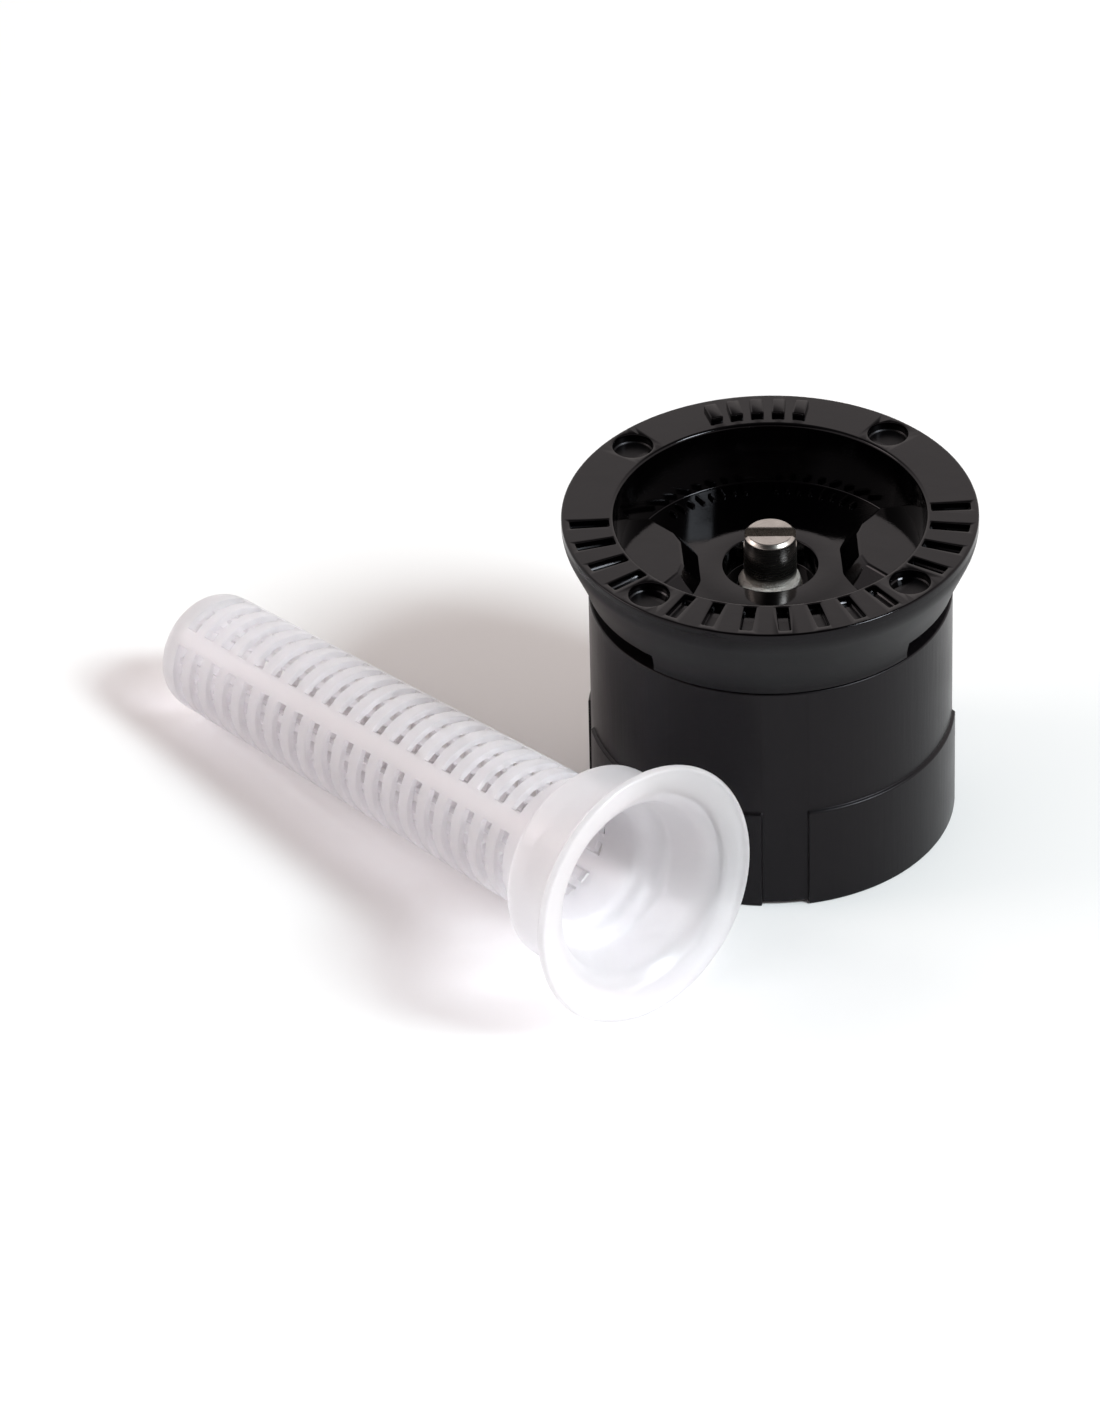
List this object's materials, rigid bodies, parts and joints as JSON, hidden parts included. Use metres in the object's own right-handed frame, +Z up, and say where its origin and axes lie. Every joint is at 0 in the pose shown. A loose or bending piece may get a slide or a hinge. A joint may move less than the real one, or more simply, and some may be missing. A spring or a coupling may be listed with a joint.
{
  "type": "pop-up sprinkler spray nozzle",
  "caption": "Side-strip spray nozzle for a pop-up sprinkler: flanged cap, threaded skirt and slotted flow screw, with its slotted filter screen beside it.",
  "frame": {"origin": "middle of the set's footprint, on the surface that the nozzle and the screen rest on", "axes": "+Z up along the nozzle's axis; +Y towards the back of the flange, which has the raised bars; +X the set's long side, with the nozzle at +X and the screen's closed tip at -X"},
  "size_m": [0.0502, 0.0414, 0.0217],
  "materials": {
    "black_plastic": "moulded black, polished bowl and satin skirt",
    "grey_plastic": "moulded grey",
    "stainless": "machined stainless steel",
    "milky_plastic": "natural milky white, lets light through"
  },
  "bodies": {
    "nozzle": {"nozzle_body": "black_plastic", "deflector_cap": "black_plastic"},
    "throttle": {"throttle_plug": "grey_plastic"},
    "screw": {"adjusting_screw": "stainless"},
    "screen": {"filter_screen": "milky_plastic"}
  },
  "joints": [
    {"name": "throttle_travel", "type": "slide", "parent": "nozzle", "child": "throttle", "axis": [0, 0, 1], "range_m": [-0.0028, 0.0007]},
    {"name": "screw_turn", "type": "hinge", "parent": "throttle", "child": "screw", "pos_m": [0.01238, 0.00461, 0.02004], "axis": [0, 0, 1], "range_deg": [-1440, 360]},
    {"name": "screen_lift", "type": "slide", "parent": "nozzle", "child": "screen", "axis": [0, 0, 1], "range_m": [0, 0.06]}
  ],
  "couplings": [
    {"joint": "screw_turn", "follows": "throttle_travel", "rad_per_m": 8976}
  ]
}
